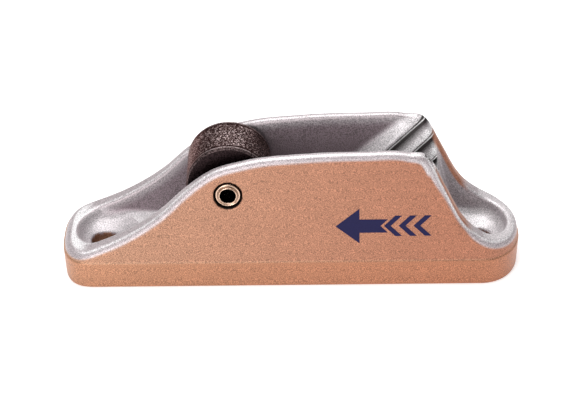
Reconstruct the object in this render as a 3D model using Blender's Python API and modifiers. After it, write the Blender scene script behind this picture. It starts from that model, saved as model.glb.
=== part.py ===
"""Jam cleat with a fairlead roller, for 3 to 6 mm rope.

A one-piece die casting: a flat base with a screw boss at each end, two side walls whose rim sweeps up
and over like a ship's sheer, and a toothed V block near the tail end.  A plain roller turns on a
hollow rivet near the load end, centred between two thrust washers.

X runs along the rope, with the load at -X and the free tail at +X.  Y runs across, Z is up, and the
origin is the middle of the base's underside.  Units are metres.
"""

import math

import bmesh
import bpy
import numpy as np
from mathutils import Matrix

MM = 0.001

# Base and outer form
LENGTH = 82 * MM
WIDTH = 20.2 * MM
BAND_HEIGHT = 5.0 * MM
BAND_DRAFT = 0.3 * MM
PARTING_STEP = 0.22 * MM
PARTING_RISE = 0.15 * MM
OUTER_DRAFT = 0.081
LOAD_END_REACH, LOAD_END_POWER = 6.5 * MM, 2.8
TAIL_END_REACH, TAIL_END_POWER = 7.2 * MM, 2.1
END_STEPS = 12
SIDE_STEPS = 40

# Rim of the side walls: (station, height) knots of its sweep, and its edge radii
RIM_KNOTS = MM * np.array([
    (-41.0, 6.4), (-37.5, 6.65), (-33.0, 8.25), (-28.5, 10.5), (-23.0, 14.35), (-18.5, 18.7),
    (-14.2, 22.0), (-8.0, 24.1), (2.0, 25.3), (13.0, 25.65), (20.5, 25.5), (24.6, 24.15), (27.2, 19.0),
    (30.2, 12.95), (34.0, 9.1), (38.0, 7.6), (41.0, 7.3),
])
RIM_OUTER_RADIUS = 1.15 * MM
LOAD_RIM_RADIUS = 1.5 * MM
LOAD_RIM_STATIONS = (-38 * MM, -24 * MM)
RIM_INNER_RADIUS = 0.7 * MM
RIM_CREST = 25.8 * MM

# Channel between the walls: its walls are almost upright, so the rim widens towards the ends
CHANNEL_HALF_WIDTH = 6.25 * MM
CHANNEL_TAIL_END, CHANNEL_TAIL_REACH = 38.9 * MM, 4.8 * MM
CHANNEL_LOAD_END, CHANNEL_LOAD_REACH = 38.6 * MM, 4.4 * MM
CHANNEL_END_POWER = 2
INNER_DRAFT = 0.01
FLOOR = 6.0 * MM

# Screw bosses: a plain bore under a shallow dish
SCREW_STATION = 33.5 * MM
SCREW_RADIUS = 2.5 * MM
DISH_RADIUS = 6.4 * MM
DISH_BOTTOM = 4.0 * MM
DISH_MARGIN = 0.35 * MM
DISH_RISE = 1.5

# Toothed V block: its ridges climb towards the tail along lines of constant x - run * z
V_BOTTOM = 9.0 * MM
V_BOTTOM_HALF_GAP = 0.8 * MM
V_FLANK_SLOPE = 0.315
RIDGE_DATUM = 25.0 * MM
RIDGE_RUN_PER_RISE = 1.17
LEAD_IN_START = 19.7 * MM
FIRST_CREST = 23.5 * MM
RIDGE_PITCH = 5.0 * MM
RIDGE_COUNT = 6
CREST_PROUD = 0.45 * MM
GROOVE_DEPTH = 1.1 * MM
GROOVE_RUN = 0.95 * MM
GROOVE_TOP = 27.0 * MM
BLOCK_FOOT = 5.1 * MM
BLOCK_HALF_WIDTH = 7.4 * MM
BLOCK_TAIL = MM * np.array([(26.4, 21.3), (26.8, 16.0), (29.99, 3.0)])
BLOCK_BELOW_RIM = 0.3 * MM

# Roller, hollow rivet and thrust washers
AXLE_X = -10.85 * MM
AXLE_Z = 18.1 * MM
CLEARANCE = 0.3 * MM
ROLLER_RADIUS = 7.45 * MM
ROLLER_WIDTH = 9.9 * MM
ROLLER_CHAMFER = 0.3 * MM
SHANK_RADIUS = 1.95 * MM
RIVET_BORE = 1.45 * MM
RIVET_LENGTH = 17.2 * MM
FLARE_RADIUS = 2.3 * MM
FLARE_THICKNESS = 0.5 * MM
FLARE_ROLL = 0.35 * MM
MOUTH_DEPTH = 0.9 * MM
MOUTH_FLARE = 0.12 * MM
COUNTERBORE_RADIUS = 2.55 * MM
COUNTERBORE_FLOOR = 7.7 * MM
WASHER_RADIUS = 4.1 * MM
WASHER_THICKNESS = 0.6 * MM

ROUND_STEPS = 48
MERGE = 0.00001
SHARP_ANGLE = math.radians(35)


# --- Scene helpers ---------------------------------------------------------------------------------

def clear_scene():
    for item in list(bpy.data.objects):
        bpy.data.objects.remove(item, do_unlink=True)


def new_collection(name):
    collection = bpy.data.collections.new(name)
    bpy.context.scene.collection.children.link(collection)
    return collection


def new_material(name, colour, roughness, metallic):
    material = bpy.data.materials.new(name)
    material.use_nodes = True
    shader = material.node_tree.nodes["Principled BSDF"]
    shader.inputs["Base Color"].default_value = (*colour, 1.0)
    shader.inputs["Roughness"].default_value = roughness
    shader.inputs["Metallic"].default_value = metallic
    return material


def add_object(name, bm, collection):
    """Turn the bmesh into an object, with its faces pointing out and its round faces smooth."""
    bmesh.ops.recalc_face_normals(bm, faces=bm.faces)
    mesh = bpy.data.meshes.new(name)
    bm.to_mesh(mesh)
    bm.free()
    mesh.shade_smooth()
    mesh.set_sharp_from_angle(angle=SHARP_ANGLE)
    result = bpy.data.objects.new(name, mesh)
    collection.objects.link(result)
    return result


def add_cutter(name, bm, collection):
    result = add_object(name, bm, collection)
    result.hide_render = True
    result.display_type = "WIRE"
    return result


def add_boolean(target, other, operation):
    modifier = target.modifiers.new(other.name, "BOOLEAN")
    modifier.operation = operation
    modifier.solver = "EXACT"
    modifier.object = other


def loft(rings):
    """A closed body through rings of points, with a flat face on the first and the last ring."""
    bm = bmesh.new()
    loops = [[bm.verts.new(point) for point in ring] for ring in rings]
    for lower, upper in zip(loops, loops[1:]):
        for i in range(len(lower)):
            j = (i + 1) % len(lower)
            bm.faces.new((lower[i], lower[j], upper[j], upper[i]))
    bm.faces.new(loops[0])
    bm.faces.new(loops[-1])
    return bm


def slab(profile, half_width):
    """An outline in XZ, carried across from -half_width to half_width."""
    return loft([[(x, y, z) for x, z in profile] for y in (-half_width, half_width)])


def upright_cone(x, lower, upper):
    """A cone about a vertical axis at station x; lower and upper are its (height, radius) ends."""
    bm = bmesh.new()
    bmesh.ops.create_cone(bm, cap_ends=True, segments=ROUND_STEPS, radius1=lower[1],
                          radius2=upper[1], depth=upper[0] - lower[0])
    bmesh.ops.translate(bm, vec=(x, 0, (lower[0] + upper[0]) / 2), verts=bm.verts)
    return bm


def axle_cylinder(radius, y_from, y_to):
    """A cylinder on the roller's axis."""
    bm = bmesh.new()
    bmesh.ops.create_cone(bm, cap_ends=True, segments=ROUND_STEPS, radius1=radius,
                          radius2=radius, depth=y_to - y_from)
    bmesh.ops.rotate(bm, cent=(0, 0, 0), matrix=Matrix.Rotation(math.pi / 2, 3, "X"), verts=bm.verts)
    bmesh.ops.translate(bm, vec=(AXLE_X, (y_from + y_to) / 2, AXLE_Z), verts=bm.verts)
    return bm


# --- Form of the casting ---------------------------------------------------------------------------

def rim_height(x):
    """Height of the rim at station x: a smooth cubic through the knots."""
    stations, heights = RIM_KNOTS.T
    slopes = np.gradient(heights, stations)
    x = np.clip(x, stations[0], stations[-1])
    i = np.clip(np.searchsorted(stations, x) - 1, 0, len(stations) - 2)
    span = stations[i + 1] - stations[i]
    t = (x - stations[i]) / span
    rise = heights[i] + (heights[i + 1] - heights[i]) * t * t * (3 - 2 * t)
    return rise + span * t * (1 - t) * (slopes[i] * (1 - t) - slopes[i + 1] * t)


def plan_outline(half_width, tail, load):
    """A long outline and its inward normals, counter-clockwise from the tail.

    Each end is a superellipse, given as (end, reach, power).
    """
    quarter = np.linspace(0, math.pi / 2, END_STEPS, endpoint=False)
    ends = []
    for side, (end, reach, power) in ((1, tail), (-1, load)):
        ends.append(np.stack([side * (end - reach + reach * np.cos(quarter) ** (2 / power)),
                              half_width * np.sin(quarter) ** (2 / power)], axis=1))
    stations = np.linspace(tail[0] - tail[1], load[1] - load[0], SIDE_STEPS)
    side = np.stack([stations, np.full(SIDE_STEPS, half_width)], axis=1)
    far_half = np.concatenate([ends[0], side, ends[1][::-1]])
    near_half = far_half[-2:0:-1] * (1, -1)
    points = np.concatenate([far_half, near_half])
    tangents = np.roll(points, -1, axis=0) - np.roll(points, 1, axis=0)
    tangents /= np.linalg.norm(tangents, axis=1)[:, None]
    return points, np.stack([-tangents[:, 1], tangents[:, 0]], axis=1)


def ring_at(outline, inset, z):
    """The outline drawn in by the inset, at height z."""
    points, inward = outline
    plan = points + inward * np.broadcast_to(inset, len(points))[:, None]
    return np.column_stack([plan, np.broadcast_to(z, len(points))])


def ring_below_rim(outline, inset, depth):
    """The outline drawn in by the inset, at a depth square to the rim's sweep."""
    stations = outline[0][:, 0]
    slope = (rim_height(stations + MM / 10) - rim_height(stations - MM / 10)) / (MM / 5)
    ring = ring_at(outline, inset, rim_height(stations))
    ring[:, 0] += depth * slope / np.hypot(slope, 1)
    ring[:, 2] -= depth / np.hypot(slope, 1)
    return ring


def casting_rings():
    """Rings up the outside of the casting, over its rim and down the inside to the floor."""
    outside = plan_outline(WIDTH / 2, (LENGTH / 2, TAIL_END_REACH, TAIL_END_POWER),
                           (LENGTH / 2, LOAD_END_REACH, LOAD_END_POWER))
    channel = plan_outline(CHANNEL_HALF_WIDTH,
                           (CHANNEL_TAIL_END, CHANNEL_TAIL_REACH, CHANNEL_END_POWER),
                           (CHANNEL_LOAD_END, CHANNEL_LOAD_REACH, CHANNEL_END_POWER))
    rings = [ring_at(outside, BAND_DRAFT, 0), ring_at(outside, 0, BAND_HEIGHT),
             ring_at(outside, PARTING_STEP, BAND_HEIGHT + PARTING_RISE)]
    lean = PARTING_STEP + OUTER_DRAFT * (rim_height(outside[0][:, 0]) - BAND_HEIGHT)
    radius = np.interp(outside[0][:, 0], LOAD_RIM_STATIONS, (LOAD_RIM_RADIUS, RIM_OUTER_RADIUS))
    for turn in np.linspace(0, math.pi / 2, 5):
        rings.append(ring_below_rim(outside, lean + radius * (1 - math.cos(turn)),
                                    radius * (1 - math.sin(turn))))
    draft = INNER_DRAFT * (RIM_CREST - rim_height(channel[0][:, 0]))
    for turn in np.linspace(0, math.pi / 2, 4):
        rings.append(ring_below_rim(channel, draft - RIM_INNER_RADIUS * (1 - math.sin(turn)),
                                    RIM_INNER_RADIUS * (1 - math.cos(turn))))
    rings.append(ring_at(channel, INNER_DRAFT * (RIM_CREST - FLOOR), FLOOR))
    return rings


# --- The V block -----------------------------------------------------------------------------------

def ridge_station(q, z):
    """Station at height z of the ridge line that crosses the datum height at station q."""
    return q - RIDGE_RUN_PER_RISE * (RIDGE_DATUM - z)


def flank_outline(z):
    """The (ridge line, half gap) corners of one flank at height z: a lead-in ramp, then saw teeth."""
    gap = V_BOTTOM_HALF_GAP + V_FLANK_SLOPE * (z - V_BOTTOM)
    corners = [(LEAD_IN_START, CHANNEL_HALF_WIDTH)]
    for tooth in range(RIDGE_COUNT):
        crest = FIRST_CREST + tooth * RIDGE_PITCH
        corners.append((crest, gap - CREST_PROUD))
        corners.append((crest + GROOVE_RUN, gap + GROOVE_DEPTH))
    return corners


def groove_section(z, corners):
    """What the rope's way takes out of the block at height z, from ahead of it along both flanks."""
    ahead = [(LEAD_IN_START - RIDGE_PITCH, WIDTH / 2), (LEAD_IN_START - MM, WIDTH / 2)]
    half = [(ridge_station(q, z), y) for q, y in ahead + corners]
    return [(x, -y, z) for x, y in half] + [(x, y, z) for x, y in reversed(half)]


def block_silhouette():
    """The block from the side: its sloping load face, its crown under the rim and its tail face."""
    start = LEAD_IN_START - BLOCK_BELOW_RIM
    foot = ridge_station(start, BLOCK_FOOT)
    brow = ridge_station(start, RIDGE_DATUM)
    stations = np.linspace(brow, BLOCK_TAIL[0, 0], 12, endpoint=False)
    crown = [(x, rim_height(x) - BLOCK_BELOW_RIM) for x in stations]
    return [(foot, BLOCK_FOOT)] + crown + [tuple(point) for point in BLOCK_TAIL]


def build_block(cutters):
    block = add_cutter("v_block", slab(block_silhouette(), BLOCK_HALF_WIDTH), cutters)
    groove = loft([groove_section(z, flank_outline(z)) for z in (V_BOTTOM, GROOVE_TOP)])
    nose = flank_outline(V_BOTTOM)[:2]
    lead_in = loft([groove_section(z, nose) for z in (BLOCK_FOOT / 2, V_BOTTOM + MM)])
    add_boolean(block, add_cutter("v_groove", groove, cutters), "DIFFERENCE")
    add_boolean(block, add_cutter("lead_in", lead_in, cutters), "DIFFERENCE")
    return block


def boss_space(direction):
    """The room over a screw boss inside the channel, which keeps its dish clear of the walls."""
    tail = (CHANNEL_TAIL_END - DISH_MARGIN, CHANNEL_TAIL_REACH, CHANNEL_END_POWER)
    load = (CHANNEL_LOAD_END - DISH_MARGIN, CHANNEL_LOAD_REACH, CHANNEL_END_POWER)
    points, _ = plan_outline(CHANNEL_HALF_WIDTH - DISH_MARGIN, tail, load)
    over_boss = points[points[:, 0] * direction > SCREW_STATION / 2]
    order = np.argsort(np.arctan2(over_boss[:, 1], over_boss[:, 0] - direction * SCREW_STATION))
    return loft([[(x, y, z) for x, y in over_boss[order]] for z in (DISH_BOTTOM / 2, FLOOR * 2)])


def build_body(parts, cutters):
    body = add_object("cleat_body", loft(casting_rings()), parts)
    for name, direction in (("load", -1), ("tail", 1)):
        station = direction * SCREW_STATION
        rise = DISH_BOTTOM + (FLOOR - DISH_BOTTOM) * DISH_RISE
        rim = SCREW_RADIUS + (DISH_RADIUS - SCREW_RADIUS) * DISH_RISE
        dish = add_cutter(name + "_dish", upright_cone(station, (DISH_BOTTOM, SCREW_RADIUS), (rise, rim)),
                          cutters)
        add_boolean(dish, add_cutter(name + "_boss_space", boss_space(direction), cutters), "INTERSECT")
        hole = add_cutter(name + "_screw_hole",
                          upright_cone(station, (-MM, SCREW_RADIUS), (FLOOR, SCREW_RADIUS)), cutters)
        add_boolean(body, dish, "DIFFERENCE")
        add_boolean(body, hole, "DIFFERENCE")
    add_boolean(body, build_block(cutters), "UNION")
    bore = axle_cylinder(SHANK_RADIUS + CLEARANCE, -WIDTH / 2, WIDTH / 2)
    add_boolean(body, add_cutter("axle_bore", bore, cutters), "DIFFERENCE")
    for name, ends in (("near_counterbore", (-WIDTH, -COUNTERBORE_FLOOR)),
                       ("far_counterbore", (COUNTERBORE_FLOOR, WIDTH))):
        sink = add_cutter(name, axle_cylinder(COUNTERBORE_RADIUS, *ends), cutters)
        add_boolean(body, sink, "DIFFERENCE")
    return body


# --- Turned pieces on the axle ---------------------------------------------------------------------

def turned(name, profile, y, collection):
    """A profile of (radius, height) points, down its outside and up its bore, turned about the axle."""
    bm = bmesh.new()
    verts = [bm.verts.new((radius, 0, height)) for radius, height in profile]
    for i, vert in enumerate(verts):
        bm.edges.new((vert, verts[(i + 1) % len(verts)]))
    mesh = bpy.data.meshes.new(name)
    bm.to_mesh(mesh)
    bm.free()
    result = bpy.data.objects.new(name, mesh)
    collection.objects.link(result)
    screw = result.modifiers.new("Turn", "SCREW")
    screw.steps = screw.render_steps = ROUND_STEPS
    screw.use_merge_vertices = True
    screw.merge_threshold = MERGE
    screw.use_smooth_shade = True
    result.rotation_euler.x = math.pi / 2
    result.location = (AXLE_X, y, AXLE_Z)
    return result


def build_roller(parts):
    half = ROLLER_WIDTH / 2
    bore = SHANK_RADIUS + CLEARANCE
    profile = [(ROLLER_RADIUS - ROLLER_CHAMFER, half), (ROLLER_RADIUS, half - ROLLER_CHAMFER),
               (ROLLER_RADIUS, ROLLER_CHAMFER - half), (ROLLER_RADIUS - ROLLER_CHAMFER, -half),
               (bore + ROLLER_CHAMFER, -half), (bore, ROLLER_CHAMFER - half),
               (bore, half - ROLLER_CHAMFER), (bore + ROLLER_CHAMFER, half)]
    return turned("roller", profile, 0, parts)


def build_rivet(parts):
    """A hollow rivet whose two ends are rolled out into the counterbores."""
    end = RIVET_LENGTH / 2
    under = end - FLARE_THICKNESS
    turns = [(math.cos(a), math.sin(a)) for a in np.linspace(math.pi / 2, 0, 4)]
    flare = [(FLARE_RADIUS - FLARE_ROLL * (1 - across), end - FLARE_ROLL * (1 - up))
             for across, up in turns]
    flare += [(FLARE_RADIUS, under), (SHANK_RADIUS, under)]
    mouth = [(RIVET_BORE, end - MOUTH_DEPTH), (RIVET_BORE + MOUTH_FLARE, end - FLARE_ROLL)]
    outside = flare + [(radius, -height) for radius, height in reversed(flare)]
    inside = [(radius, -height) for radius, height in reversed(mouth)] + mouth
    return turned("hollow_rivet", outside + inside, 0, parts)


def build_washer(name, side, parts):
    half = WASHER_THICKNESS / 2
    bore = SHANK_RADIUS + CLEARANCE
    profile = [(WASHER_RADIUS, half), (WASHER_RADIUS, -half), (bore, -half), (bore, half)]
    middle = ROLLER_WIDTH / 2 + CLEARANCE + half
    return turned(name, profile, side * middle, parts)


def main():
    clear_scene()
    parts = new_collection("jam_cleat")
    cutters = new_collection("cutters")
    alloy = new_material("cast alloy", (0.60, 0.31, 0.19), 0.45, 1.0)
    dark_steel = new_material("blackened roller", (0.035, 0.024, 0.022), 0.5, 0.6)
    rivet_metal = new_material("rivet metal", (0.62, 0.50, 0.42), 0.3, 1.0)
    acetal = new_material("washer acetal", (0.03, 0.03, 0.03), 0.5, 0.0)
    build_body(parts, cutters).data.materials.append(alloy)
    build_roller(parts).data.materials.append(dark_steel)
    build_rivet(parts).data.materials.append(rivet_metal)
    for name, side in (("near_washer", -1), ("far_washer", 1)):
        build_washer(name, side, parts).data.materials.append(acetal)


main()
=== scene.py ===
"""The looks of a cast jam cleat with a fairlead roller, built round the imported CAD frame.

The casting is modelled as one smooth field of signed distances, with every edge and inside corner
rounded as a die casting's are, and meshed where the field is zero. The roller, rivet and washers are
turned. X runs along the rope with the load at -X, Z is up, and units are metres.
"""
import math

import bmesh
import bpy
import numpy as np
from mathutils import Matrix, Vector


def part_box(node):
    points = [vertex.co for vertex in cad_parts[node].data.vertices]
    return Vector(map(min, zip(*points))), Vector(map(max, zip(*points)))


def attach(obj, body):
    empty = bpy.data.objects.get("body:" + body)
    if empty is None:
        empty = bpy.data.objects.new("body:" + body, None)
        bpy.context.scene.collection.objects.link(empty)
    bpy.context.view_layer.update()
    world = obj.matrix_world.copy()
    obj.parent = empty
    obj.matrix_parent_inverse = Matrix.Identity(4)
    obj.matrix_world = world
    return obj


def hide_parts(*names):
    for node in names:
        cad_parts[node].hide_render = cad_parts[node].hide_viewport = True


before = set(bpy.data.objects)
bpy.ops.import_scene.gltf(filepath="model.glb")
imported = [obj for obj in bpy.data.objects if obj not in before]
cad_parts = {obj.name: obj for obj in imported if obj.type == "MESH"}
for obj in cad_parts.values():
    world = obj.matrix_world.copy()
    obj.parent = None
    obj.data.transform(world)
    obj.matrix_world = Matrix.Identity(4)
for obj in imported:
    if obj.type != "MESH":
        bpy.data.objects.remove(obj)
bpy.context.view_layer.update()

MM = 0.001
STEP = 0.2 * MM  # for slopes taken by difference

# The casting, as in the CAD
BODY_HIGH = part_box("cleat_body")[1]
HALF_LENGTH = BODY_HIGH.x
HALF_WIDTH = BODY_HIGH.y
BAND_HEIGHT = 5.0 * MM
BAND_DRAFT = 0.3 * MM
PARTING_STEP = 0.22 * MM
PARTING_RISE = 0.15 * MM
OUTER_DRAFT = 0.081
LOAD_END_REACH, LOAD_END_POWER = 6.5 * MM, 2.8
TAIL_END_REACH, TAIL_END_POWER = 7.2 * MM, 2.1
RIM_KNOTS = MM * np.array([
    (-41.0, 6.4), (-37.5, 6.65), (-33.0, 8.25), (-28.5, 10.5), (-23.0, 14.35), (-18.5, 18.7),
    (-14.2, 22.0), (-8.0, 24.1), (2.0, 25.3), (13.0, 25.65), (20.5, 25.5), (24.6, 24.15), (27.2, 19.0),
    (30.2, 12.95), (34.0, 9.1), (38.0, 7.6), (41.0, 7.3),
])
RIM_OUTER_RADIUS = 1.15 * MM
LOAD_RIM_RADIUS = 1.5 * MM
LOAD_RIM_STATIONS = (-38 * MM, -24 * MM)
RIM_INNER_RADIUS = 0.7 * MM
RIM_CREST = 25.8 * MM
CHANNEL_HALF_WIDTH = 6.25 * MM
CHANNEL_TAIL_END, CHANNEL_TAIL_REACH = 38.9 * MM, 4.8 * MM
CHANNEL_LOAD_END, CHANNEL_LOAD_REACH = 38.6 * MM, 4.4 * MM
CHANNEL_END_POWER = 2
INNER_DRAFT = 0.01
FLOOR = 6.0 * MM
SCREW_STATION = 33.5 * MM
SCREW_RADIUS = 2.5 * MM
DISH_RADIUS = 6.4 * MM
DISH_BOTTOM = 4.0 * MM
V_BOTTOM = 9.0 * MM
V_BOTTOM_HALF_GAP = 0.8 * MM
V_FLANK_SLOPE = 0.315
RIDGE_DATUM = 25.0 * MM
RIDGE_RUN_PER_RISE = 1.17
LEAD_IN_START = 19.7 * MM
FIRST_CREST = 23.5 * MM
RIDGE_PITCH = 5.0 * MM
CREST_PROUD = 0.45 * MM
GROOVE_DEPTH = 1.1 * MM
GROOVE_RUN = 0.95 * MM
SCOOP_POWER = 1.3
BLOCK_TAIL = MM * np.array([(26.4, 21.3), (26.8, 16.0), (29.5, 5.0)])
COUNTERBORE_RADIUS = 2.55 * MM
COUNTERBORE_FLOOR = 7.7 * MM
AXLE_BORE_RADIUS = 2.25 * MM

# Rounding that the CAD leaves out
BASE_EDGE_RADIUS = 0.25 * MM
DISH_EDGE_RADIUS = 0.3 * MM
FLOOR_CORNER_STATIONS = (20 * MM, 36 * MM)
FLOOR_CORNER_RADII = (0.7 * MM, 1.6 * MM)
KEEL_CORNER_RADIUS = 0.6 * MM
BLOCK_TAIL_RADIUS = 0.5 * MM
BLOCK_CORNER_RADIUS = 0.35 * MM
CROWN_RADIUS = 1.5 * MM
NOTCH_RADIUS = 0.7 * MM
SCREW_EDGE_RADIUS = 0.15 * MM
COUNTERBORE_EDGE_RADIUS = 0.08 * MM

# How far the block stays below the rim's sweep and in from the outside
CROWN_BELOW_RIM = 0.1 * MM
BLOCK_INSIDE_WALL = 1.2 * MM

# Distances measured along an axis, times these, are about the distances to the sloping faces
FLANK_SCALE = 0.85
CREST_SCALE = 0.65
TAIL_SCALE = 0.95

# Grid lines for meshing the casting, in mm: (position, spacing up to the next position)
GRID_X = [(-41.4, 0.24), (-36, 0.36), (-14, 0.26), (-8, 0.6), (3, 0.42), (18, 0.28), (36, 0.24), (41.4, 0)]
GRID_Y = [(-10.5, 0.2), (-7, 0.4), (7, 0.2), (10.5, 0)]
GRID_Z = [(-0.4, 0.2), (0.6, 0.5), (4.6, 0.15), (5.6, 0.27), (26.2, 0)]

# Turned pieces
ROLLER_CHAMFER = 0.32 * MM
ROLLER_EDGE_RADIUS = 0.07 * MM
RIVET_EDGE_RADIUS = 0.1 * MM
WASHER_EDGE_RADIUS = 0.15 * MM
CREASE_RADIUS, CREASE_WIDTH = 1.72 * MM, 0.06 * MM
MOUTH_RADII = (1.39 * MM, 1.45 * MM)
ROLLER_STEPS, RIVET_STEPS, WASHER_STEPS = 256, 128, 96

# The printed arrow and the bars behind it, measured from the middle of the mark's height
MARK_HEIGHT = 12.0 * MM
ARROW_TIP, ARROW_NECK, ARROW_END = 8.0 * MM, 12.2 * MM, 17.2 * MM
ARROW_HALF_HEAD, ARROW_HALF_SHAFT = 3.4 * MM, 1.3 * MM
BAR_COUNT, BAR_PITCH, BAR_WIDTH, BAR_HALF_HEIGHT = 3, 2.6 * MM, 1.2 * MM, 2.0 * MM
PRINT_THICKNESS = 0.03 * MM

# Colours
# The tan is a painted warm reflection on the silver metal's outer faces. It turns redder and darker towards
# the tail as a painted light falloff, and the band below the parting line is darker and more orange.
TAN_AT_LOAD, TAN_AT_TAIL = (0.416, 0.217, 0.135), (0.378, 0.155, 0.090)
BAND_AT_LOAD, BAND_AT_TAIL = (0.42, 0.201, 0.113), (0.407, 0.166, 0.089)
TAN_STATIONS = (-30 * MM, 28 * MM)
SILVER = (0.51, 0.47, 0.485), (0.57, 0.53, 0.545)
# painted shade for the channel's upright walls
SHADED_SILVER = (0.245, 0.19, 0.21), (0.305, 0.245, 0.265)
# painted highlight colour for the rim's roundings, the teeth's crests and lobes, the lead-in and the floor
HIGHLIGHT_SILVER = (0.82, 0.79, 0.80), (0.88, 0.85, 0.86)
SHADED_RIM_SILVER = (0.47, 0.41, 0.425)
GROOVE_SHADE_COLOUR, GROOVE_GLINT_COLOUR = (0.025, 0.018, 0.018), (0.95, 0.93, 0.93)
# painted highlight along the parting step's ledge
SEAM_HIGHLIGHT = (0.58, 0.34, 0.21)
# painted shade for the counterbore's gap and the screw holes
POCKET_SHADE = (0.02, 0.012, 0.01)
TREAD_DARK, TREAD_RUBBED = (0.032, 0.015, 0.014), (0.90, 0.73, 0.72)
TREAD_EDGE, TREAD_HIGHLIGHT_LINE = (0.03, 0.016, 0.016), (0.55, 0.46, 0.46)
CHAMFER_DARK, CHAMFER_HIGHLIGHT = (0.012, 0.007, 0.008), (0.10, 0.07, 0.07)
ROLLER_SHEEN = (0.42, 0.27, 0.25)
# the rivet's copper tint is a painted warm reflection on its steel
RIVET_METAL = (0.66, 0.45, 0.33), (0.78, 0.58, 0.46)
RIVET_BORE_SHADE = (0.02, 0.014, 0.012)
WASHER_BLACK = (0.02, 0.02, 0.02), (0.05, 0.05, 0.05)
PRINT_NAVY = (0.004, 0.003, 0.035), (0.012, 0.011, 0.07)

# Painted shade and painted highlights across each tooth, along X from its crest: a pair of spans ramps up
# over the first and down over the second
GROOVE_SHADE = (0, 0.15 * MM), (GROOVE_RUN, GROOVE_RUN + 0.1 * MM)
GROOVE_GLINT = ((GROOVE_RUN + 0.02 * MM, GROOVE_RUN + 0.12 * MM),
                (GROOVE_RUN + 0.33 * MM, GROOVE_RUN + 0.43 * MM))
TOOTH_SHADE = (GROOVE_RUN + 0.35 * MM, GROOVE_RUN + 0.45 * MM), (2.0 * MM, 3.6 * MM)
CREST_HIGHLIGHT, CREST_HIGHLIGHT_SHARE = (2.6 * MM, 4.4 * MM), 0.8

# Where the casting's painted warm reflection, painted shade and painted highlights begin and end
TAN_DEPTH, TAN_DEPTH_STEEP_LOSS, TAN_BLUR = 1.0 * MM, 0.35 * MM, 0.25 * MM
KNEE_STATION, KNEE_LENGTH, KNEE_DROP = 24.3 * MM, 2.4 * MM, 0.65 * MM
OUTSIDE_SPAN = (-0.7 * MM, -0.3 * MM)
INSIDE_SPAN = (-0.9 * MM, -0.6 * MM)
RAMP_INSIDE_SPAN, RAMP_DEPTH_SPAN = (-0.6 * MM, -0.4 * MM), (0.5 * MM, 0.8 * MM)
RAMP_STATIONS = (25 * MM, 26.2 * MM)
STEEP_SLOPES = (0.8, 1.4)
UNDERSIDE_SPAN = (0.05 * MM, 0.2 * MM)
SEAM_WIDTH, SEAM_SHARE = 0.13 * MM, 0.35
RIM_TOP_SPAN = (0.6 * MM, 1.2 * MM)
RECESS_SPAN = (0.3 * MM, 2.5 * MM)
UPRIGHT_SPAN = (0.35, 0.8)
BOWL_STATIONS, BOWL_BRIGHTNESS = (22 * MM, 27 * MM), 0.55
LEAD_IN_BRIGHTNESS, MOST_BRIGHTNESS = 0.9, 0.9
LEVEL_SPAN, SLOPED_SPAN = (0.94, 0.99), (0.3, 0.6)
FLOOR_SHINE_TOP = FLOOR + 3 * MM
LOBE_SPAN = (-1.7 * MM, -0.7 * MM)
# painted highlights along the rim's roundings: where each sits on the turn, its shift on steep slopes, its
# width and strength
OUTER_HIGHLIGHT_TURN, OUTER_HIGHLIGHT_STEEP_SHIFT, OUTER_HIGHLIGHT_WIDTH = 1.1, 0.3, 0.2
INNER_HIGHLIGHT_TURN, INNER_HIGHLIGHT_WIDTH = 1.15, 0.25
HIGHLIGHT_SHARE, HIGHLIGHT_LOAD_LOSS, HIGHLIGHT_LOAD_SPAN = 0.85, 0.75, (36 * MM, 39 * MM)
TAIL_FLOOR_SHARE, LEAD_IN_SHARE = 0.5, 0.5
SCREW_HOLE_SHADE, SCREW_HOLE_MARGIN = 0.5, 0.1 * MM
POCKET_MARGIN, POCKET_DEPTH, POCKET_FLOOR_MARGIN = 0.04 * MM, 0.06 * MM, 0.2 * MM

# Grain of each material, and bands of the roller measured in from its ends
ALLOY_GRAIN, ALLOY_CLOUD = 0.14 * MM, 9 * MM
ROLLER_GRAIN, ROLLER_SPECKLE, ROLLER_WEAR = 0.25 * MM, 0.3 * MM, 3 * MM
TURNING_MARKS, TURNING_STRETCH = 0.5 * MM, (0.15, 4, 0.15)
ROLLER_HIGHLIGHT_LINE, ROLLER_HIGHLIGHT_LINE_SHARE = ((0.35 * MM, 0.5 * MM), (0.6 * MM, 0.8 * MM)), 0.7
ROLLER_EDGE_BAND, ROLLER_EDGE_BAND_SHARE = (1.1 * MM, 1.5 * MM), 0.85
RIVET_MARKS, WASHER_GRAIN, PRINT_GRAIN = 0.3 * MM, 0.25 * MM, 0.2 * MM

# Camera and studio
CAMERA_AZIMUTH, CAMERA_ELEVATION, CAMERA_ROLL = 0.844, 30.822, 1.03
CAMERA_LENS, CAMERA_SENSOR = 155.8, 36
CAMERA_DISTANCE = 450 * MM
CAMERA_TARGET = MM * Vector((-0.09, 0.105, 11.881))
CLIP_START = 0.01
PAPER_SIZE, PAPER_CENTRE = 3.0, (0, 0.6, 0)
PAPER_SHADE, PAPER_ROUGHNESS, PAPER_GLOW = 0.9, 0.9, 0.45
WORLD_STRENGTH = 0.36
LIGHTS = [
    # name, place, target, size, watts
    ("top_box", (-0.03, 0.06, 0.45), (0, 0, 0.01), (0.4, 0.4), 1.6),
    ("back_box", (0.0, 0.5, 0.36), (0, 0, 0.01), (0.6, 0.4), 0.5),
    ("front_box", (-0.12, -0.28, 0.12), (-0.01, 0, 0.01), (0.15, 0.15), 0.5),
]

# Places read from the frame
ROLLER_LOW, ROLLER_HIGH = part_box("roller")
RIVET_LOW, RIVET_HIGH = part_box("hollow_rivet")
AXLE = (ROLLER_LOW + ROLLER_HIGH) / 2


# --- The casting's form ----------------------------------------------------------------------------

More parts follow.
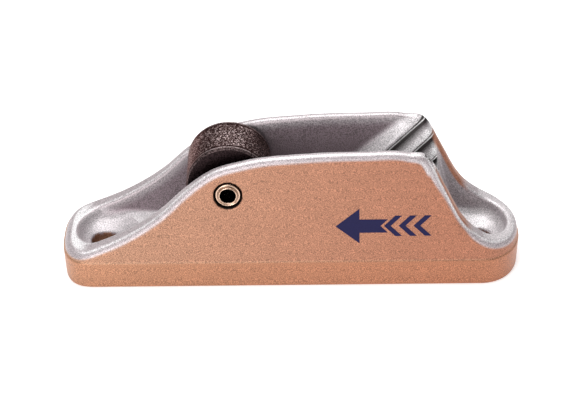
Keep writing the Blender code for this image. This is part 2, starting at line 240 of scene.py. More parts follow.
def rim_height(x):
    """Height of the rim at station x: a smooth cubic through the knots."""
    stations, heights = RIM_KNOTS.T
    slopes = np.gradient(heights, stations)
    x = np.clip(x, stations[0], stations[-1])
    i = np.clip(np.searchsorted(stations, x) - 1, 0, len(stations) - 2)
    span = stations[i + 1] - stations[i]
    t = (x - stations[i]) / span
    rise = heights[i] + (heights[i + 1] - heights[i]) * t * t * (3 - 2 * t)
    return rise + span * t * (1 - t) * (slopes[i] * (1 - t) - slopes[i + 1] * t)


def distance_to_line(u, v, line):
    """Distance from the points (u, v) to an open line through the given points."""
    nearest = np.full(np.broadcast(u, v).shape, np.inf)
    for (u0, v0), (u1, v1) in zip(line, line[1:]):
        du, dv = u1 - u0, v1 - v0
        t = np.clip(((u - u0) * du + (v - v0) * dv) / (du * du + dv * dv), 0, 1)
        nearest = np.minimum(nearest, np.hypot(u - u0 - t * du, v - v0 - t * dv))
    return nearest


def plan_distance(x, y, half_width, tail, load):
    """Signed distance to a long outline seen from above, negative inside.

    Each end is a superellipse, given as (end, reach, power).
    """
    quarter = np.linspace(0, math.pi / 2, 49)
    outline = []
    for side, (end, reach, power) in ((1, tail), (-1, load)):
        curve = [(side * (end - reach * (1 - math.cos(a) ** (2 / power))),
                  half_width * math.sin(a) ** (2 / power)) for a in quarter]
        outline += curve[::side]
    y = np.abs(y)
    corners_x, corners_y = np.array(outline[::-1]).T
    inside = (y < np.interp(x, corners_x, corners_y)) & (x < tail[0]) & (x > -load[0])
    return np.where(inside, -1, 1) * distance_to_line(x, y, outline)


def outer_plan(x, y):
    return plan_distance(x, y, HALF_WIDTH, (HALF_LENGTH, TAIL_END_REACH, TAIL_END_POWER),
                         (HALF_LENGTH, LOAD_END_REACH, LOAD_END_POWER))


def channel_plan(x, y):
    return plan_distance(x, y, CHANNEL_HALF_WIDTH,
                         (CHANNEL_TAIL_END, CHANNEL_TAIL_REACH, CHANNEL_END_POWER),
                         (CHANNEL_LOAD_END, CHANNEL_LOAD_REACH, CHANNEL_END_POWER))


def rim_distance(x, z):
    """Signed distance to the rim's sweep, seen from the side: negative below it."""
    stations = np.linspace(-HALF_LENGTH, HALF_LENGTH, 329)
    sweep = list(zip(stations, rim_height(stations)))
    sweep = [(-2 * HALF_LENGTH, sweep[0][1])] + sweep + [(2 * HALF_LENGTH, sweep[-1][1])]
    return np.where(z < rim_height(x), -1, 1) * distance_to_line(x, z, sweep)


def meet(a, b, radius):
    """The space inside both fields, with the edge between them rounded."""
    rounded = np.hypot(np.maximum(a + radius, 0), np.maximum(b + radius, 0))
    return np.minimum(np.maximum(a, b), -radius) + rounded


def join(a, b, radius):
    """The space inside either field, with the corner between them filled."""
    return -meet(-a, -b, radius)


def outer_inset(z):
    """How far the outside stands in from its widest outline at height z."""
    levels = [0, BAND_HEIGHT, BAND_HEIGHT + PARTING_RISE, RIM_CREST]
    insets = [BAND_DRAFT, 0, PARTING_STEP, PARTING_STEP + OUTER_DRAFT * (RIM_CREST - BAND_HEIGHT)]
    return np.interp(z, levels, insets)


def floor_level(x, y):
    """Height of the channel's floor, with its shallow dish round each screw hole."""
    reach = np.hypot(np.abs(x) - SCREW_STATION, y)
    cone = DISH_BOTTOM + (reach - SCREW_RADIUS) * (FLOOR - DISH_BOTTOM) / (DISH_RADIUS - SCREW_RADIUS)
    return FLOOR - meet(np.zeros_like(cone), FLOOR - cone, DISH_EDGE_RADIUS)


def ridged_gap(q, z):
    """Half the width of the V at height z on ridge line q: a lead-in ramp, then saw teeth."""
    gap = V_BOTTOM_HALF_GAP + V_FLANK_SLOPE * (np.maximum(z, V_BOTTOM) - V_BOTTOM)
    phase = np.mod(q - FIRST_CREST, RIDGE_PITCH)
    drop = np.clip(phase / GROOVE_RUN, 0, 1)
    rise = np.clip((phase - GROOVE_RUN) / (RIDGE_PITCH - GROOVE_RUN), 0, 1)
    teeth = gap - CREST_PROUD + (GROOVE_DEPTH + CREST_PROUD) * (drop - rise ** SCOOP_POWER)
    lead = (FIRST_CREST - q) / (FIRST_CREST - LEAD_IN_START)
    ramp = gap - CREST_PROUD + (CHANNEL_HALF_WIDTH - gap + CREST_PROUD) * lead
    return np.where(q < FIRST_CREST, ramp, teeth)


def ridge_line(x, z):
    """Where the ridge line through (x, z) crosses the datum height."""
    return x + RIDGE_RUN_PER_RISE * (RIDGE_DATUM - z)


def past_block_tail(x, z):
    """How far station x is past the block's tail face at height z."""
    return x - np.interp(z, BLOCK_TAIL[::-1, 1], BLOCK_TAIL[::-1, 0])


def block_field(x, y, z, rim, outer):
    """The toothed V block, and the rope's notched way through it: each is negative inside."""
    q = ridge_line(x, z)
    flank = (ridged_gap(q, z) - np.abs(y)) * FLANK_SCALE
    before_crest = (FIRST_CREST - q) * CREST_SCALE
    keel = np.maximum(z - V_BOTTOM, before_crest)
    tail = past_block_tail(x, z) * TAIL_SCALE
    metal = meet(join(flank, keel, KEEL_CORNER_RADIUS), tail, BLOCK_TAIL_RADIUS)
    metal = meet(metal, rim + CROWN_BELOW_RIM, CROWN_RADIUS)
    notches = np.maximum(np.maximum(-flank, before_crest), np.maximum(tail, V_BOTTOM - z))
    return np.maximum(metal, outer + BLOCK_INSIDE_WALL), notches


def outer_rim_radius(x):
    return np.interp(x, LOAD_RIM_STATIONS, (LOAD_RIM_RADIUS, RIM_OUTER_RADIUS))


def outside_plan(x, y, z):
    return outer_plan(x, y) + outer_inset(z)


def wall_plan(x, y, z):
    return channel_plan(x, y) + INNER_DRAFT * (RIM_CREST - z)


def casting_field(x, y, z):
    """Signed distance to the whole casting's surface, negative in its metal."""
    rim = rim_distance(x, z)
    outer = outside_plan(x, y, z)
    outside = meet(outer, rim, outer_rim_radius(x))
    outside = meet(outside, -z, BASE_EDGE_RADIUS)
    corner = np.interp(np.abs(x), FLOOR_CORNER_STATIONS, FLOOR_CORNER_RADII)
    channel = meet(wall_plan(x, y, z), floor_level(x, y) - z, corner)
    metal = meet(outside, -channel, RIM_INNER_RADIUS)
    block, notches = block_field(x, y, z, rim, outer)
    metal = np.maximum(join(metal, block, BLOCK_CORNER_RADIUS), -z)
    metal = meet(metal, -notches, NOTCH_RADIUS)
    screw = SCREW_RADIUS - np.hypot(np.abs(x) - SCREW_STATION, y)
    metal = meet(metal, screw, SCREW_EDGE_RADIUS)
    axle = np.hypot(x - AXLE.x, z - AXLE.z)
    sink = np.maximum(axle - COUNTERBORE_RADIUS, COUNTERBORE_FLOOR - np.abs(y))
    metal = meet(metal, -sink, COUNTERBORE_EDGE_RADIUS)
    return np.maximum(metal, AXLE_BORE_RADIUS - axle)


# --- Materials --------------------------------------------------------------------------------------

class Shader:
    """A Principled material and the nodes that feed it."""

    def __init__(self, name):
        self.material = bpy.data.materials.new(name)
        self.material.use_nodes = True
        self.tree = self.material.node_tree
        self.principled = self.tree.nodes["Principled BSDF"]
        self.place = self.add("ShaderNodeTexCoord").outputs["Object"]

    def add(self, kind, **settings):
        node = self.tree.nodes.new(kind)
        for key, value in settings.items():
            setattr(node, key, value)
        return node

    def put(self, socket, value):
        if isinstance(value, bpy.types.NodeSocket):
            self.tree.links.new(value, socket)
        else:
            socket.default_value = (*value, 1) if isinstance(value, tuple) else value

    def give(self, name, value):
        self.put(self.principled.inputs[name], value)

    def share(self, name):
        return self.add("ShaderNodeAttribute", attribute_name=name).outputs["Fac"]

    def axes(self):
        """The object's own X, Y and Z at the shaded point."""
        parts = self.add("ShaderNodeSeparateXYZ")
        self.put(parts.inputs[0], self.place)
        return parts.outputs

    def math(self, operation, a, b=0.0):
        node = self.add("ShaderNodeMath", operation=operation)
        self.put(node.inputs[0], a)
        self.put(node.inputs[1], b)
        return node.outputs[0]

    def fit(self, value, low, high, out_low, out_high):
        node = self.add("ShaderNodeMapRange")
        for socket, number in zip(node.inputs, (value, low, high, out_low, out_high)):
            self.put(socket, number)
        return node.outputs[0]

    def pulse(self, value, rise, fall):
        """1 between the two spans given, ramping up across the first and down across the second."""
        return self.math("MULTIPLY", self.fit(value, *rise, 0, 1), self.fit(value, *fall, 1, 0))

    def noise(self, grain, detail=3.0, stretch=(1, 1, 1)):
        """Noise whose features are about grain metres across."""
        mapping = self.add("ShaderNodeMapping")
        mapping.inputs["Scale"].default_value = stretch
        self.put(mapping.inputs["Vector"], self.place)
        node = self.add("ShaderNodeTexNoise")
        self.put(node.inputs["Vector"], mapping.outputs[0])
        self.put(node.inputs["Scale"], 1 / grain)
        self.put(node.inputs["Detail"], detail)
        return node.outputs["Fac"]

    def mix(self, share, a, b):
        node = self.add("ShaderNodeMix", data_type="RGBA")
        self.put(node.inputs["Factor"], share)
        self.put(node.inputs["A"], a)
        self.put(node.inputs["B"], b)
        return node.outputs["Result"]

    def brighten(self, colour, amount):
        """The colour times a grey amount."""
        node = self.add("ShaderNodeVectorMath", operation="SCALE")
        self.put(node.inputs[0], colour)
        self.put(node.inputs["Scale"], amount)
        return node.outputs[0]

    def bump(self, height, depth, strength=1.0):
        node = self.add("ShaderNodeBump")
        node.inputs["Distance"].default_value = depth
        node.inputs["Strength"].default_value = strength
        self.put(node.inputs["Height"], height)
        self.give("Normal", node.outputs[0])


def ridge_shades(shader):
    """Across each saw tooth: painted shade in its groove and up its scoop, a painted highlight on its crest
    and a painted highlight line down the groove.
    """
    axes = shader.axes()
    drop = shader.math("SUBTRACT", RIDGE_DATUM, axes["Z"])
    station = shader.math("ADD", axes["X"], shader.math("MULTIPLY", drop, RIDGE_RUN_PER_RISE))
    phase = shader.math("FLOORED_MODULO", shader.math("SUBTRACT", station, FIRST_CREST), RIDGE_PITCH)
    dark = shader.math("MAXIMUM", shader.pulse(phase, *GROOVE_SHADE), shader.pulse(phase, *TOOTH_SHADE))
    crest = shader.fit(phase, *CREST_HIGHLIGHT, 0, CREST_HIGHLIGHT_SHARE)
    return dark, crest, shader.pulse(phase, *GROOVE_GLINT)


def alloy_material():
    """Fine-blasted silver die casting: bright silver on the rim and inside, a painted warm reflection in
    tan on the outside, and painted shade and painted highlights.
    """
    shader = Shader("cast alloy")
    grain = shader.noise(ALLOY_GRAIN, 1.0)
    cloud = shader.noise(ALLOY_CLOUD, 2.0)
    highlight_colour = shader.mix(cloud, *HIGHLIGHT_SILVER)
    colour = shader.mix(shader.share("recess_shade"), shader.mix(cloud, *SILVER), shader.mix(cloud, *SHADED_SILVER))
    colour = shader.mix(shader.share("rim_top_shade"), colour, SHADED_RIM_SILVER)
    colour = shader.mix(shader.share("painted_highlight"), colour, highlight_colour)
    dark, crest, line = ridge_shades(shader)
    block = shader.share("ridges")
    # painted highlight on each crest, painted shade in each groove and up its scoop, and a painted
    # highlight line down the groove
    for amount, shade in ((crest, highlight_colour), (dark, GROOVE_SHADE_COLOUR), (line, GROOVE_GLINT_COLOUR)):
        colour = shader.mix(shader.math("MULTIPLY", block, amount), colour, shade)
    # painted light falloff: the painted tan reflection darkens towards the tail
    along = shader.fit(shader.axes()["X"], *TAN_STATIONS, 0, 1)
    tan = shader.mix(shader.share("band"), shader.mix(along, TAN_AT_LOAD, TAN_AT_TAIL),
                     shader.mix(along, BAND_AT_LOAD, BAND_AT_TAIL))
    tan = shader.brighten(tan, shader.fit(cloud, 0.3, 0.7, 0.96, 1.04))
    colour = shader.mix(shader.share("painted_warm_reflection"), colour, tan)
    colour = shader.mix(shader.share("seam_highlight"), colour, SEAM_HIGHLIGHT)
    colour = shader.mix(shader.share("pocket_shade"), colour, POCKET_SHADE)
    shader.give("Base Color", shader.brighten(colour, shader.fit(grain, 0.36, 0.64, 0.55, 1.45)))
    shader.give("Metallic", 0.45)
    shader.give("Roughness", shader.fit(grain, 0.36, 0.64, 0.36, 0.52))
    shader.bump(grain, 0.03 * MM, 0.8)
    return shader.material


def roller_material():
    """Hard-anodised and turned: dark, with fine turning marks, speckle, a painted highlight line near each
    edge and a painted highlight on the chamfers' outer edges.
    """
    shader = Shader("dark roller")
    grain = shader.noise(ROLLER_GRAIN)
    marks = shader.noise(TURNING_MARKS, stretch=TURNING_STRETCH)
    wear = shader.noise(ROLLER_WEAR, 2.0)
    speckle = shader.noise(ROLLER_SPECKLE, 2.0)
    to_edge = shader.math("SUBTRACT", (ROLLER_HIGH.y - ROLLER_LOW.y) / 2,
                          shader.math("ABSOLUTE", shader.axes()["Y"]))
    # painted highlight line along each edge of the tread
    line = shader.pulse(to_edge, *ROLLER_HIGHLIGHT_LINE)
    band = shader.fit(to_edge, *ROLLER_EDGE_BAND, ROLLER_EDGE_BAND_SHARE, 0)
    rubbed = shader.math("MULTIPLY", shader.fit(marks, 0.35, 0.65, 0, 1),
                         shader.fit(wear, 0.35, 0.6, 0.25, 1))
    rubbed = shader.math("MULTIPLY", shader.fit(rubbed, 0, 1, 0.35, 1),
                         shader.fit(speckle, 0.51, 0.6, 0, 1))
    tread = shader.mix(rubbed, TREAD_DARK, TREAD_RUBBED)
    tread = shader.mix(band, tread, TREAD_EDGE)
    tread = shader.mix(shader.math("MULTIPLY", line, ROLLER_HIGHLIGHT_LINE_SHARE), tread, TREAD_HIGHLIGHT_LINE)
    # painted highlight on the chamfer's outer edge
    chamfer = shader.mix(shader.share("chamfer_highlight"), CHAMFER_DARK, CHAMFER_HIGHLIGHT)
    colour = shader.mix(shader.share("tread"), chamfer, tread)
    shader.give("Base Color", shader.brighten(colour, shader.fit(grain, 0.38, 0.62, 0.35, 1.65)))
    shader.give("Metallic", 0.9)
    shader.give("Specular Tint", ROLLER_SHEEN)
    shader.give("Roughness", shader.fit(grain, 0.36, 0.64, 0.25, 0.42))
    shader.bump(grain, 0.05 * MM, 0.9)
    return shader.material


def rivet_material():
    shader = Shader("rivet metal")
    marks = shader.noise(RIVET_MARKS)
    # painted warm reflection: a copper tint on the steel
    bright = shader.mix(marks, *RIVET_METAL)
    shader.give("Base Color", shader.mix(shader.share("bore"), bright, RIVET_BORE_SHADE))
    shader.give("Metallic", 1.0)
    shader.give("Roughness", shader.fit(marks, 0.3, 0.7, 0.18, 0.32))
    shader.bump(marks, 0.01 * MM, 0.5)
    return shader.material


def washer_material():
    shader = Shader("washer acetal")
    grain = shader.noise(WASHER_GRAIN)
    shader.give("Base Color", shader.mix(grain, *WASHER_BLACK))
    shader.give("Roughness", shader.fit(grain, 0.3, 0.7, 0.4, 0.55))
    shader.bump(grain, 0.01 * MM, 0.4)
    return shader.material


# --- Meshing a field -------------------------------------------------------------------------------

def graded(stops):
    """Grid lines from one stop to the next: (position, spacing up to the next stop), in mm."""
    lines = []
    for (start, spacing), (end, _) in zip(stops, stops[1:]):
        count = max(1, round((end - start) / spacing))
        lines.append(np.linspace(start, end, count, endpoint=False))
    return MM * np.concatenate(lines + [[stops[-1][0]]])


def surface_net(field, axes):
    """Points and quads of the field's zero level: one point in every cell that it passes through."""
    inside = field < 0
    cells = np.array(field.shape) - 1
    strides = np.array([cells[1] * cells[2], cells[2], 1])
    total = np.zeros((cells.prod(), 3))
    hits = np.zeros(cells.prod())
    quads = []
    for along in range(3):
        across = [(along + 1) % 3, (along + 2) % 3]
        low = [slice(None)] * 3
        high = [slice(None)] * 3
        low[along], high[along] = slice(None, -1), slice(1, None)
        node = np.stack(np.nonzero(inside[tuple(low)] != inside[tuple(high)]), axis=1)
        step = np.eye(3, dtype=int)[along]
        before = field[tuple(node.T)]
        after = field[tuple((node + step).T)]
        point = np.stack([axes[k][node[:, k]] for k in range(3)], axis=1)
        t = before / (before - after)
        point[:, along] += t * (axes[along][node[:, along] + 1] - axes[along][node[:, along]])
        corners = []
        for a, b in ((0, 0), (1, 0), (1, 1), (0, 1)):
            cell = node.copy()
            cell[:, across[0]] -= a
            cell[:, across[1]] -= b
            corners.append(cell @ strides)
            for k in range(3):
                total[:, k] += np.bincount(corners[-1], point[:, k], len(total))
            hits += np.bincount(corners[-1], minlength=len(hits))
        ring = np.stack(corners, axis=1)
        quads.append(np.where((before < 0)[:, None], ring, ring[:, ::-1]))
    quads = np.concatenate(quads)
    used = np.flatnonzero(hits)
    number = np.zeros(len(hits), dtype=int)
    number[used] = np.arange(len(used))
    return total[used] / hits[used, None], number[quads]


def new_object(name, mesh):
    piece = bpy.data.objects.new(name, mesh)
    bpy.context.scene.collection.objects.link(piece)
    return piece


def smooth_step(low, high, value):
    t = np.clip((value - low) / (high - low), 0, 1)
    return t * t * (3 - 2 * t)


def add_share(mesh, name, values):
    """A value from 0 to 1 at each point, for the materials to read."""
    mesh.attributes.new(name, "FLOAT", "POINT").data.foreach_set("value", values.astype(np.float32))


def outside_shares(x, y, z, depth, outer, steep):
    """Where the casting is painted tan as a warm reflection, where it is the darker band at the base, and
    the painted highlight along the parting seam.
    """
    knee = np.exp(-((x - KNEE_STATION) / KNEE_LENGTH) ** 2)
    near_outside = smooth_step(*OUTSIDE_SPAN, outer)
    tan_depth = TAN_DEPTH - TAN_DEPTH_STEEP_LOSS * steep + KNEE_DROP * knee
    outside = near_outside * smooth_step(tan_depth - TAN_BLUR, tan_depth + TAN_BLUR, depth)
    # the steep rim slopes towards the tail also get the painted warm reflection
    ramp = steep * (1 - smooth_step(*RAMP_INSIDE_SPAN, outer))
    ramp *= (1 - smooth_step(*RAMP_DEPTH_SPAN, depth)) * smooth_step(*RAMP_STATIONS, x)
    under = np.maximum(1 - smooth_step(*UNDERSIDE_SPAN, z), in_screw_hole(x, y))
    # painted highlight: a lighter line along the up-facing ledge of the parting step
    seam_highlight = np.exp(-((z - BAND_HEIGHT - PARTING_RISE) / SEAM_WIDTH) ** 2)
    return {"painted_warm_reflection": np.maximum(np.maximum(outside, ramp), under),
            "band": 1 - smooth_step(BAND_HEIGHT, BAND_HEIGHT + PARTING_RISE, z),
            "seam_highlight": SEAM_SHARE * seam_highlight * near_outside}


def inside_shares(x, z, up, depth, outer):
    """Where the channel's walls get painted shade, where it is ridged, and where its floor and teeth get
    painted highlights.
    """
    inside = 1 - smooth_step(*INSIDE_SPAN, outer)
    q = ridge_line(x, z)
    before_tail = x < BLOCK_TAIL[0, 0]
    in_block = (q > FIRST_CREST - 0.1 * MM) & before_tail & (z > V_BOTTOM)
    on_lead_in = smooth_step(LEAD_IN_START - MM, LEAD_IN_START + MM, q) * before_tail
    bright = BOWL_BRIGHTNESS * smooth_step(*BOWL_STATIONS, x) + LEAD_IN_BRIGHTNESS * on_lead_in
    upright = 1 - smooth_step(*UPRIGHT_SPAN, up)
    # painted shade on the channel's upright walls: stronger deeper below the rim, weaker on the bowl and
    # lead-in
    recess_shade = inside * upright * smooth_step(*RECESS_SPAN, depth) * (1 - np.minimum(bright, MOST_BRIGHTNESS))
    # painted highlights on the level floor, the sloped tail floor, the lead-in and the teeth's lobes
    load_floor = inside * smooth_step(*LEVEL_SPAN, up) * (x < 0)
    tail_floor = TAIL_FLOOR_SHARE * inside * smooth_step(*SLOPED_SPAN, up) * (x > 0)
    floor = (load_floor + tail_floor) * (z < FLOOR_SHINE_TOP)
    rise = smooth_step(LEAD_IN_START, LEAD_IN_START + 2 * MM, q)
    fall = smooth_step(FIRST_CREST, FIRST_CREST + 0.3 * MM, q)
    lead_in = LEAD_IN_SHARE * inside * before_tail * (rise - fall)
    lobe = in_block * inside * smooth_step(*LOBE_SPAN, past_block_tail(x, z))
    return recess_shade, in_block * inside, np.maximum(lobe, np.maximum(floor, lead_in))


def rim_highlights(x, depth, outer, into_wall, steep):
    """Painted highlights along the rim's outer and inner roundings, placed where overhead light would
    glint, fading at the load end.
    """
    radius = outer_rim_radius(x)
    outer_turn = np.arctan2(radius - depth, np.maximum(radius + outer, 0))
    inner_turn = np.arctan2(RIM_INNER_RADIUS - depth, np.maximum(RIM_INNER_RADIUS - into_wall, 0))
    outer_off = outer_turn - OUTER_HIGHLIGHT_TURN + OUTER_HIGHLIGHT_STEEP_SHIFT * steep
    outer_line = np.exp(-(outer_off / OUTER_HIGHLIGHT_WIDTH) ** 2) * (outer > -radius)
    inner_off = inner_turn - INNER_HIGHLIGHT_TURN
    inner_line = np.exp(-(inner_off / INNER_HIGHLIGHT_WIDTH) ** 2) * (into_wall < RIM_INNER_RADIUS)
    share = HIGHLIGHT_SHARE - HIGHLIGHT_LOAD_LOSS * smooth_step(*HIGHLIGHT_LOAD_SPAN, -x)
    return np.maximum(outer_line, inner_line) * share


def in_screw_hole(x, y):
    return np.hypot(np.abs(x) - SCREW_STATION, y) < SCREW_RADIUS + SCREW_HOLE_MARGIN


def casting_shares(x, y, z, up):
    """How much of each finish the casting has at its points; up is the height of its normals."""
    outer = outside_plan(x, y, z)
    into_wall = wall_plan(x, y, z)
    depth = -rim_distance(x, z)
    slope = (rim_height(x + STEP) - rim_height(x - STEP)) / (2 * STEP)
    steep = smooth_step(*STEEP_SLOPES, -slope)
    recess_shade, ridges, glints = inside_shares(x, z, up, depth, outer)
    # painted shade: the counterbore's gap round the rivet is painted near black, and the screw holes half
    # as dark
    pocket_shade = np.hypot(x - AXLE.x, z - AXLE.z) < COUNTERBORE_RADIUS + POCKET_MARGIN
    pocket_shade &= (outer < -POCKET_DEPTH) & (np.abs(y) > COUNTERBORE_FLOOR - POCKET_FLOOR_MARGIN)
    return outside_shares(x, y, z, depth, outer, steep) | {
        "recess_shade": recess_shade, "ridges": ridges,
        "painted_highlight": np.maximum(rim_highlights(x, depth, outer, into_wall, steep), glints),
        # painted shade: the rim's flat top is painted greyer than its roundings
        "rim_top_shade": (1 - smooth_step(*RIM_TOP_SPAN, depth)) * (into_wall > 0),
        "pocket_shade": np.maximum(pocket_shade, SCREW_HOLE_SHADE * in_screw_hole(x, y))}


def build_casting():
    axes = [graded(stops) for stops in (GRID_X, GRID_Y, GRID_Z)]
    x, y, z = np.meshgrid(*axes, indexing="ij", sparse=True)
    points, quads = surface_net(casting_field(x, y, z), axes)
    mesh = bpy.data.meshes.new("cast_body")
    mesh.from_pydata(points, [], quads)
    mesh.shade_smooth()
    normals = np.empty(len(points) * 3, dtype=np.float32)
    mesh.vertex_normals.foreach_get("vector", normals)
    for name, values in casting_shares(*points.T, normals.reshape(-1, 3)[:, 2]).items():
        add_share(mesh, name, values)
    casting = new_object("cast_body", mesh)
    mesh.materials.append(alloy_material())
    return casting


# --- Turned pieces ---------------------------------------------------------------------------------

def rounded(corners, radius, steps=5):
    """A closed (radius, height) profile with its corners rounded."""
    profile = []
    count = len(corners)
    for i, corner in enumerate(corners):
        here = Vector(corner)
        back = Vector(corners[i - 1]) - here
        ahead = Vector(corners[(i + 1) % count]) - here
        reach = min(radius, back.length * 0.45, ahead.length * 0.45)
        start = here + back.normalized() * reach
        end = here + ahead.normalized() * reach
        for t in np.linspace(0, 1, steps):
            profile.append(start * (1 - t) ** 2 + here * 2 * t * (1 - t) + end * t * t)
    return profile


def turned(name, profile, centre, material, steps):
    """A closed profile of (radius, height) turned about the axle through the centre."""
    bm = bmesh.new()
    rings = []
    for k in range(steps):
        angle = 2 * math.pi * k / steps
        rings.append([bm.verts.new((r * math.cos(angle), h, r * math.sin(angle))) for r, h in profile])
    for here, ahead in zip(rings, rings[1:] + rings[:1]):
        for i in range(len(profile)):
            j = (i + 1) % len(profile)
            bm.faces.new((here[i], here[j], ahead[j], ahead[i]))
    bmesh.ops.translate(bm, vec=centre, verts=bm.verts)
    bmesh.ops.recalc_face_normals(bm, faces=bm.faces)
    mesh = bpy.data.meshes.new(name)
    bm.to_mesh(mesh)
    bm.free()
    mesh.shade_smooth()
    mesh.materials.append(material)
    return new_object(name, mesh)


def from_axle(piece):
    """Each point's distance from the axle's line and along it from the middle."""
    points = np.array([corner.co for corner in piece.data.vertices]) - np.array(AXLE)
    return np.hypot(points[:, 0], points[:, 2]), np.abs(points[:, 1])


def build_roller():
    radius = (ROLLER_HIGH.z - ROLLER_LOW.z) / 2
    half = (ROLLER_HIGH.y - ROLLER_LOW.y) / 2
    chamfer, bore = ROLLER_CHAMFER, AXLE_BORE_RADIUS
    corners = [(bore, half - chamfer), (bore + chamfer, half), (radius - chamfer, half),
               (radius, half - chamfer), (radius, chamfer - half), (radius - chamfer, -half),
               (bore + chamfer, -half), (bore, chamfer - half)]
    roller = turned("fairlead_roller", rounded(corners, ROLLER_EDGE_RADIUS), AXLE, roller_material(),
                    ROLLER_STEPS)
    across, along = from_axle(roller)
    edge = smooth_step(radius - 1.3 * chamfer, radius - 0.9 * chamfer, across)
    flat = smooth_step(radius - 0.1 * chamfer, radius, across) * (along < half - 0.9 * chamfer)
    add_share(roller.data, "chamfer_highlight", edge)
    add_share(roller.data, "tread", flat)
    return roller


def build_rivet():
    """A hollow rivet: a bell mouth inside a rolled lip at each end, and a plain shank between."""
    end = (RIVET_HIGH.y - RIVET_LOW.y) / 2
    lip = (RIVET_HIGH.z - RIVET_LOW.z) / 2
    upper = [(1.35 * MM, end - 1.1 * MM), (1.38 * MM, end + 0.12 * MM), (1.5 * MM, end + 0.3 * MM),
             (1.64 * MM, end + 0.2 * MM), (1.7 * MM, end - 0.06 * MM), (1.82 * MM, end - 0.08 * MM),
             (1.98 * MM, end + 0.1 * MM), (lip - 0.12 * MM, end), (lip - 0.06 * MM, end - 0.4 * MM),
             (1.95 * MM, end - 0.62 * MM)]
    lower = [(radius, -height) for radius, height in reversed(upper)]
    rivet = turned("tubular_rivet", rounded(upper + lower, RIVET_EDGE_RADIUS), AXLE, rivet_material(),
                   RIVET_STEPS)
    across, _ = from_axle(rivet)
    # painted shade: the rivet's bore mouth is painted near black, with a dark line in the crease of the lip
    crease = np.exp(-((across - CREASE_RADIUS) / CREASE_WIDTH) ** 2)
    add_share(rivet.data, "bore", np.maximum(1 - smooth_step(*MOUTH_RADII, across), crease))
    return rivet


def build_washer(name, node):
    low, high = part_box(node)
    outer = (high.z - low.z) / 2
    half = (high.y - low.y) / 2
    corners = [(AXLE_BORE_RADIUS, half), (outer, half), (outer, -half), (AXLE_BORE_RADIUS, -half)]
    return turned(name, rounded(corners, WASHER_EDGE_RADIUS), (low + high) / 2, washer_material(),
                  WASHER_STEPS)


# --- The mark on the near wall ---------------------------------------------------------------------

def print_material():
    shader = Shader("navy print")
    grain = shader.noise(PRINT_GRAIN, 2.0)
    shader.give("Base Color", shader.mix(grain, *PRINT_NAVY))
    shader.give("Specular IOR Level", 0.2)
    shader.give("Roughness", shader.fit(grain, 0.3, 0.7, 0.45, 0.6))
    shader.bump(grain, 0.01 * MM, 0.5)
    return shader.material


def build_mark():
    """A plain arrow towards the load and three slanted bars behind it, printed on the near wall."""
    arrow = [(ARROW_TIP, 0), (ARROW_NECK, ARROW_HALF_HEAD), (ARROW_NECK, ARROW_HALF_SHAFT),
             (ARROW_END, ARROW_HALF_SHAFT), (ARROW_END - ARROW_HALF_SHAFT, 0),
             (ARROW_END, -ARROW_HALF_SHAFT), (ARROW_NECK, -ARROW_HALF_SHAFT),
             (ARROW_NECK, -ARROW_HALF_HEAD)]
    shapes = [arrow]
    for k in range(BAR_COUNT):
        left = ARROW_END + BAR_PITCH * (k + 0.5)
        shapes.append([(left - BAR_HALF_HEIGHT, 0), (left, BAR_HALF_HEIGHT),
                       (left + BAR_WIDTH, BAR_HALF_HEIGHT), (left + BAR_WIDTH - BAR_HALF_HEIGHT, 0),
                       (left + BAR_WIDTH, -BAR_HALF_HEIGHT), (left, -BAR_HALF_HEIGHT)])
    bm = bmesh.new()
    for shape in shapes:
        rings = []
        for lift in (-PRINT_THICKNESS, PRINT_THICKNESS):
            rings.append([bm.verts.new((x, outer_inset(MARK_HEIGHT + z) - HALF_WIDTH - lift,
                                        MARK_HEIGHT + z)) for x, z in shape])
        for i in range(len(shape)):
            j = (i + 1) % len(shape)
            bm.faces.new((rings[0][i], rings[0][j], rings[1][j], rings[1][i]))
        bm.faces.new(rings[0])
        bm.faces.new(rings[1])
    bmesh.ops.triangulate(bm, faces=bm.faces)
    bmesh.ops.recalc_face_normals(bm, faces=bm.faces)
    mesh = bpy.data.meshes.new("printed_mark")
    bm.to_mesh(mesh)
    bm.free()
    mesh.materials.append(print_material())
    return new_object("printed_mark", mesh)


# --- Stage, lights and camera ----------------------------------------------------------------------

def build_stage():
    bpy.ops.mesh.primitive_plane_add(size=PAPER_SIZE, location=PAPER_CENTRE)
    floor = bpy.context.object
    floor.name = "studio_floor"
    paper = bpy.data.materials.new("white paper")
    paper.use_nodes = True
    inputs = paper.node_tree.nodes["Principled BSDF"].inputs
    inputs["Base Color"].default_value = (PAPER_SHADE, PAPER_SHADE, PAPER_SHADE, 1)
    inputs["Roughness"].default_value = PAPER_ROUGHNESS
    inputs["Emission Color"].default_value = (1, 1, 1, 1)
    inputs["Emission Strength"].default_value = PAPER_GLOW
    floor.data.materials.append(paper)


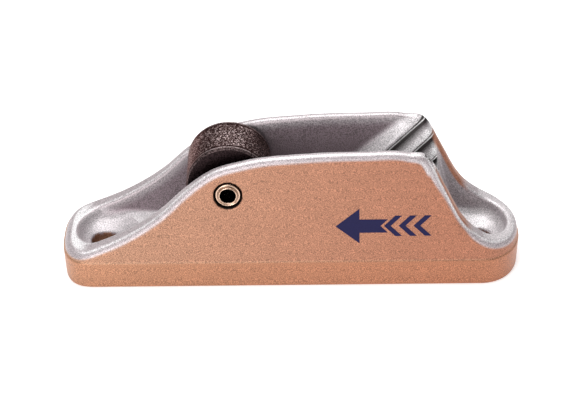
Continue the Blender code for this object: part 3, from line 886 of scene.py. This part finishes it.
def area_light(name, place, target, size, power):
    light = bpy.data.lights.new(name, "AREA")
    light.shape = "RECTANGLE"
    light.size, light.size_y = size
    light.energy = power
    lamp = bpy.data.objects.new(name, light)
    lamp.location = place
    lamp.rotation_euler = (Vector(target) - Vector(place)).to_track_quat("-Z", "Y").to_euler()
    bpy.context.scene.collection.objects.link(lamp)


def build_lights():
    world = bpy.data.worlds.new("studio")
    world.use_nodes = True
    world.node_tree.nodes["Background"].inputs["Color"].default_value = (1, 1, 1, 1)
    world.node_tree.nodes["Background"].inputs["Strength"].default_value = WORLD_STRENGTH
    bpy.context.scene.world = world
    for light in LIGHTS:
        area_light(*light)
    bpy.context.scene.view_settings.view_transform = "Standard"


def build_camera():
    """A close-up lens 450 mm off, about 31 degrees above the horizon and almost square to the side."""
    azimuth, elevation, roll = map(math.radians, (CAMERA_AZIMUTH, CAMERA_ELEVATION, CAMERA_ROLL))
    back = Vector((math.sin(azimuth) * math.cos(elevation),
                   -math.cos(azimuth) * math.cos(elevation), math.sin(elevation)))
    camera = bpy.data.cameras.new("camera")
    camera.lens = CAMERA_LENS
    camera.sensor_width = CAMERA_SENSOR
    camera.clip_start = CLIP_START
    eye = bpy.data.objects.new("camera", camera)
    eye.location = CAMERA_TARGET + CAMERA_DISTANCE * back
    level = (-back).to_track_quat("-Z", "Y")
    eye.rotation_mode = "QUATERNION"
    eye.rotation_quaternion = level @ Matrix.Rotation(-roll, 3, "Z").to_quaternion()
    bpy.context.scene.collection.objects.link(eye)
    bpy.context.scene.camera = eye


build_camera()
build_stage()
build_lights()
for piece, body, node, slot in (
        (build_casting(), "body", "cleat_body", "cast_alloy"),
        (build_roller(), "roller", "roller", "dark_roller"),
        (build_mark(), "body", "cleat_body", "cast_alloy"),
        (build_rivet(), "body", "hollow_rivet", "rivet_metal"),
        (build_washer("near_thrust_washer", "near_washer"), "body", "near_washer", "washer_plastic"),
        (build_washer("far_thrust_washer", "far_washer"), "body", "far_washer", "washer_plastic")):
    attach(piece, body)
    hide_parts(node)
